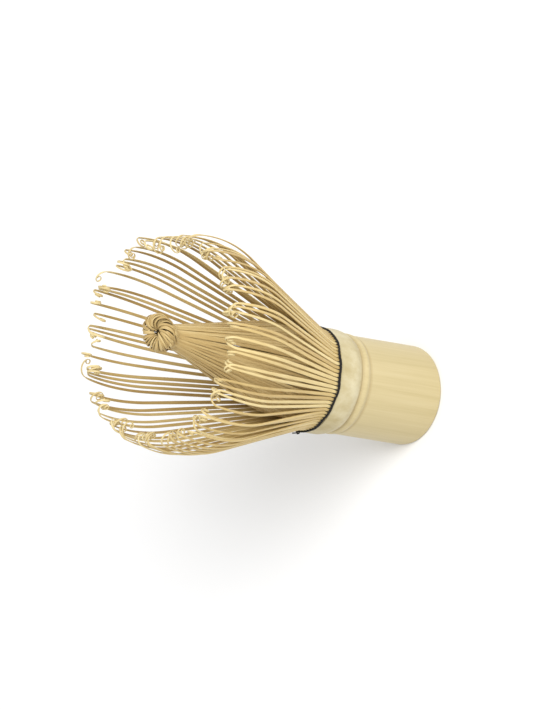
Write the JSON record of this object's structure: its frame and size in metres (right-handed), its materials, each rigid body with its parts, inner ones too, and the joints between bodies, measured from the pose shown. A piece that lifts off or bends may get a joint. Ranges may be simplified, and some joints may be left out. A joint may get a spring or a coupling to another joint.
{
  "type": "bamboo tea whisk",
  "caption": "Bamboo tea whisk: a hollow culm grip split into flared outer tines and an inner bundle that closes to a bud, bound with black thread.",
  "frame": {"origin": "centre of the mouth of the hollow grip, in the plane of the grip's flat cut end", "axes": "+Z along the culm from the grip's end to the tine tips; the crown of tines leans a little towards +X"},
  "size_m": [0.0632, 0.0632, 0.1018],
  "materials": {
    "culm_bamboo": "satin, pale straw, dried and bleached bamboo",
    "outer_tine_bamboo": "shaved bamboo, matt to satin",
    "inner_tine_bamboo": "shaved bamboo, matt",
    "thread": "matt black cotton thread"
  },
  "bodies": {
    "culm": {"culm": "culm_bamboo", "thread_outer_winding": "thread", "thread_inner_winding": "thread", "thread_stitches": "thread", "thread_knot": "thread"},
    "outer_split_01": {"outer_tines_01": "outer_tine_bamboo"},
    "outer_split_02": {"outer_tines_02": "outer_tine_bamboo"},
    "outer_split_03": {"outer_tines_03": "outer_tine_bamboo"},
    "outer_split_04": {"outer_tines_04": "outer_tine_bamboo"},
    "outer_split_05": {"outer_tines_05": "outer_tine_bamboo"},
    "outer_split_06": {"outer_tines_06": "outer_tine_bamboo"},
    "outer_split_07": {"outer_tines_07": "outer_tine_bamboo"},
    "outer_split_08": {"outer_tines_08": "outer_tine_bamboo"},
    "outer_split_09": {"outer_tines_09": "outer_tine_bamboo"},
    "outer_split_10": {"outer_tines_10": "outer_tine_bamboo"},
    "outer_split_11": {"outer_tines_11": "outer_tine_bamboo"},
    "outer_split_12": {"outer_tines_12": "outer_tine_bamboo"},
    "outer_split_13": {"outer_tines_13": "outer_tine_bamboo"},
    "outer_split_14": {"outer_tines_14": "outer_tine_bamboo"},
    "outer_split_15": {"outer_tines_15": "outer_tine_bamboo"},
    "outer_split_16": {"outer_tines_16": "outer_tine_bamboo"},
    "inner_split_01": {"inner_tines_01": "inner_tine_bamboo"},
    "inner_split_02": {"inner_tines_02": "inner_tine_bamboo"},
    "inner_split_03": {"inner_tines_03": "inner_tine_bamboo"},
    "inner_split_04": {"inner_tines_04": "inner_tine_bamboo"},
    "inner_split_05": {"inner_tines_05": "inner_tine_bamboo"},
    "inner_split_06": {"inner_tines_06": "inner_tine_bamboo"},
    "inner_split_07": {"inner_tines_07": "inner_tine_bamboo"},
    "inner_split_08": {"inner_tines_08": "inner_tine_bamboo"},
    "inner_split_09": {"inner_tines_09": "inner_tine_bamboo"},
    "inner_split_10": {"inner_tines_10": "inner_tine_bamboo"},
    "inner_split_11": {"inner_tines_11": "inner_tine_bamboo"},
    "inner_split_12": {"inner_tines_12": "inner_tine_bamboo"},
    "inner_split_13": {"inner_tines_13": "inner_tine_bamboo"},
    "inner_split_14": {"inner_tines_14": "inner_tine_bamboo"},
    "inner_split_15": {"inner_tines_15": "inner_tine_bamboo"},
    "inner_split_16": {"inner_tines_16": "inner_tine_bamboo"}
  },
  "joints": [
    {"name": "outer_flex_01", "type": "hinge", "parent": "culm", "child": "outer_split_01", "pos_m": [0.0148, 0, 0.04], "axis": [0, 1, 0], "range_deg": [-3, 5], "stiffness_Nm_per_rad": 0.02},
    {"name": "outer_flex_02", "type": "hinge", "parent": "culm", "child": "outer_split_02", "pos_m": [0.01367, 0.00566, 0.04], "axis": [-0.3827, 0.9239, 0], "range_deg": [-3, 5], "stiffness_Nm_per_rad": 0.02},
    {"name": "outer_flex_03", "type": "hinge", "parent": "culm", "child": "outer_split_03", "pos_m": [0.01047, 0.01047, 0.04], "axis": [-0.7071, 0.7071, 0], "range_deg": [-3, 5], "stiffness_Nm_per_rad": 0.02},
    {"name": "outer_flex_04", "type": "hinge", "parent": "culm", "child": "outer_split_04", "pos_m": [0.00566, 0.01367, 0.04], "axis": [-0.9239, 0.3827, 0], "range_deg": [-3, 5], "stiffness_Nm_per_rad": 0.02},
    {"name": "outer_flex_05", "type": "hinge", "parent": "culm", "child": "outer_split_05", "pos_m": [0, 0.0148, 0.04], "axis": [-1, 0, 0], "range_deg": [-3, 5], "stiffness_Nm_per_rad": 0.02},
    {"name": "outer_flex_06", "type": "hinge", "parent": "culm", "child": "outer_split_06", "pos_m": [-0.00566, 0.01367, 0.04], "axis": [-0.9239, -0.3827, 0], "range_deg": [-3, 5], "stiffness_Nm_per_rad": 0.02},
    {"name": "outer_flex_07", "type": "hinge", "parent": "culm", "child": "outer_split_07", "pos_m": [-0.01047, 0.01047, 0.04], "axis": [-0.7071, -0.7071, 0], "range_deg": [-3, 5], "stiffness_Nm_per_rad": 0.02},
    {"name": "outer_flex_08", "type": "hinge", "parent": "culm", "child": "outer_split_08", "pos_m": [-0.01367, 0.00566, 0.04], "axis": [-0.3827, -0.9239, 0], "range_deg": [-3, 5], "stiffness_Nm_per_rad": 0.02},
    {"name": "outer_flex_09", "type": "hinge", "parent": "culm", "child": "outer_split_09", "pos_m": [-0.0148, 0, 0.04], "axis": [0, -1, 0], "range_deg": [-3, 5], "stiffness_Nm_per_rad": 0.02},
    {"name": "outer_flex_10", "type": "hinge", "parent": "culm", "child": "outer_split_10", "pos_m": [-0.01367, -0.00566, 0.04], "axis": [0.3827, -0.9239, 0], "range_deg": [-3, 5], "stiffness_Nm_per_rad": 0.02},
    {"name": "outer_flex_11", "type": "hinge", "parent": "culm", "child": "outer_split_11", "pos_m": [-0.01047, -0.01047, 0.04], "axis": [0.7071, -0.7071, 0], "range_deg": [-3, 5], "stiffness_Nm_per_rad": 0.02},
    {"name": "outer_flex_12", "type": "hinge", "parent": "culm", "child": "outer_split_12", "pos_m": [-0.00566, -0.01367, 0.04], "axis": [0.9239, -0.3827, 0], "range_deg": [-3, 5], "stiffness_Nm_per_rad": 0.02},
    {"name": "outer_flex_13", "type": "hinge", "parent": "culm", "child": "outer_split_13", "pos_m": [0, -0.0148, 0.04], "axis": [1, 0, 0], "range_deg": [-3, 5], "stiffness_Nm_per_rad": 0.02},
    {"name": "outer_flex_14", "type": "hinge", "parent": "culm", "child": "outer_split_14", "pos_m": [0.00566, -0.01367, 0.04], "axis": [0.9239, 0.3827, 0], "range_deg": [-3, 5], "stiffness_Nm_per_rad": 0.02},
    {"name": "outer_flex_15", "type": "hinge", "parent": "culm", "child": "outer_split_15", "pos_m": [0.01047, -0.01047, 0.04], "axis": [0.7071, 0.7071, 0], "range_deg": [-3, 5], "stiffness_Nm_per_rad": 0.02},
    {"name": "outer_flex_16", "type": "hinge", "parent": "culm", "child": "outer_split_16", "pos_m": [0.01367, -0.00566, 0.04], "axis": [0.3827, 0.9239, 0], "range_deg": [-3, 5], "stiffness_Nm_per_rad": 0.02},
    {"name": "inner_flex_01", "type": "hinge", "parent": "culm", "child": "inner_split_01", "pos_m": [0.0123, 0, 0.04], "axis": [0, 1, 0], "range_deg": [0, 5], "stiffness_Nm_per_rad": 0.015},
    {"name": "inner_flex_02", "type": "hinge", "parent": "culm", "child": "inner_split_02", "pos_m": [0.01136, 0.00471, 0.04], "axis": [-0.3827, 0.9239, 0], "range_deg": [0, 5], "stiffness_Nm_per_rad": 0.015},
    {"name": "inner_flex_03", "type": "hinge", "parent": "culm", "child": "inner_split_03", "pos_m": [0.0087, 0.0087, 0.04], "axis": [-0.7071, 0.7071, 0], "range_deg": [0, 5], "stiffness_Nm_per_rad": 0.015},
    {"name": "inner_flex_04", "type": "hinge", "parent": "culm", "child": "inner_split_04", "pos_m": [0.00471, 0.01136, 0.04], "axis": [-0.9239, 0.3827, 0], "range_deg": [0, 5], "stiffness_Nm_per_rad": 0.015},
    {"name": "inner_flex_05", "type": "hinge", "parent": "culm", "child": "inner_split_05", "pos_m": [0, 0.0123, 0.04], "axis": [-1, 0, 0], "range_deg": [0, 5], "stiffness_Nm_per_rad": 0.015},
    {"name": "inner_flex_06", "type": "hinge", "parent": "culm", "child": "inner_split_06", "pos_m": [-0.00471, 0.01136, 0.04], "axis": [-0.9239, -0.3827, 0], "range_deg": [0, 5], "stiffness_Nm_per_rad": 0.015},
    {"name": "inner_flex_07", "type": "hinge", "parent": "culm", "child": "inner_split_07", "pos_m": [-0.0087, 0.0087, 0.04], "axis": [-0.7071, -0.7071, 0], "range_deg": [0, 5], "stiffness_Nm_per_rad": 0.015},
    {"name": "inner_flex_08", "type": "hinge", "parent": "culm", "child": "inner_split_08", "pos_m": [-0.01136, 0.00471, 0.04], "axis": [-0.3827, -0.9239, 0], "range_deg": [0, 5], "stiffness_Nm_per_rad": 0.015},
    {"name": "inner_flex_09", "type": "hinge", "parent": "culm", "child": "inner_split_09", "pos_m": [-0.0123, 0, 0.04], "axis": [0, -1, 0], "range_deg": [0, 5], "stiffness_Nm_per_rad": 0.015},
    {"name": "inner_flex_10", "type": "hinge", "parent": "culm", "child": "inner_split_10", "pos_m": [-0.01136, -0.00471, 0.04], "axis": [0.3827, -0.9239, 0], "range_deg": [0, 5], "stiffness_Nm_per_rad": 0.015},
    {"name": "inner_flex_11", "type": "hinge", "parent": "culm", "child": "inner_split_11", "pos_m": [-0.0087, -0.0087, 0.04], "axis": [0.7071, -0.7071, 0], "range_deg": [0, 5], "stiffness_Nm_per_rad": 0.015},
    {"name": "inner_flex_12", "type": "hinge", "parent": "culm", "child": "inner_split_12", "pos_m": [-0.00471, -0.01136, 0.04], "axis": [0.9239, -0.3827, 0], "range_deg": [0, 5], "stiffness_Nm_per_rad": 0.015},
    {"name": "inner_flex_13", "type": "hinge", "parent": "culm", "child": "inner_split_13", "pos_m": [0, -0.0123, 0.04], "axis": [1, 0, 0], "range_deg": [0, 5], "stiffness_Nm_per_rad": 0.015},
    {"name": "inner_flex_14", "type": "hinge", "parent": "culm", "child": "inner_split_14", "pos_m": [0.00471, -0.01136, 0.04], "axis": [0.9239, 0.3827, 0], "range_deg": [0, 5], "stiffness_Nm_per_rad": 0.015},
    {"name": "inner_flex_15", "type": "hinge", "parent": "culm", "child": "inner_split_15", "pos_m": [0.0087, -0.0087, 0.04], "axis": [0.7071, 0.7071, 0], "range_deg": [0, 5], "stiffness_Nm_per_rad": 0.015},
    {"name": "inner_flex_16", "type": "hinge", "parent": "culm", "child": "inner_split_16", "pos_m": [0.01136, -0.00471, 0.04], "axis": [0.3827, 0.9239, 0], "range_deg": [0, 5], "stiffness_Nm_per_rad": 0.015}
  ]
}
